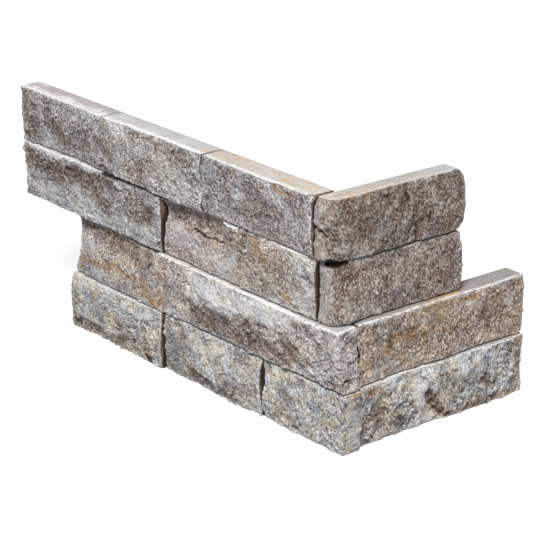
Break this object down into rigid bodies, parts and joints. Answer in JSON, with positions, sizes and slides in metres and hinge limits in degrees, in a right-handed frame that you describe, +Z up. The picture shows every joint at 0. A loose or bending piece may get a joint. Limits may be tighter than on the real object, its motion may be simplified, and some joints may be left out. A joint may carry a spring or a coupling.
{
  "type": "stone cladding corner piece",
  "caption": "L-shaped corner of stacked split-stone wall cladding, with staggered ends that interlock with flat panels.",
  "frame": {"origin": "the edge where the two sawn backs meet, which lies on the wall's own corner edge, at the bottom of the piece", "axes": "+Z up; the long leg runs along -X with its split face towards -Y; the short leg runs along +Y with its split face towards +X"},
  "size_m": [0.3282, 0.1525, 0.15],
  "materials": {
    "stone_grey": "split face, matt, sawn back and beds",
    "stone_beige": "split face, matt, sawn back and beds",
    "stone_brown": "split face, matt, sawn back and beds",
    "stone_rust": "split face, matt, with rust veins",
    "stone_blue": "split face, matt, with blue-grey patches",
    "resin": "cured adhesive, dull"
  },
  "bodies": {
    "root": {"top_left_stone": "stone_grey", "top_middle_stone": "stone_beige", "top_right_stone": "stone_grey", "top_corner_stone": "stone_brown", "second_left_stone": "stone_grey", "second_middle_stone": "stone_beige", "second_right_stone": "stone_beige", "second_corner_stone": "stone_brown", "third_left_stone": "stone_rust", "third_corner_stone": "stone_grey", "third_side_stone": "stone_rust", "base_left_stone": "stone_blue", "base_middle_stone": "stone_blue", "base_corner_stone": "stone_blue", "base_side_stone": "stone_blue", "top_left_resin": "resin", "top_middle_resin": "resin", "top_corner_resin": "resin", "second_left_resin": "resin", "second_middle_resin": "resin", "second_corner_resin": "resin", "third_left_resin": "resin", "third_corner_resin": "resin", "base_left_resin": "resin", "base_middle_resin": "resin", "base_corner_resin": "resin", "upper_bed_resin": "resin", "middle_bed_resin": "resin", "lower_bed_resin": "resin"}
  },
  "joints": []
}
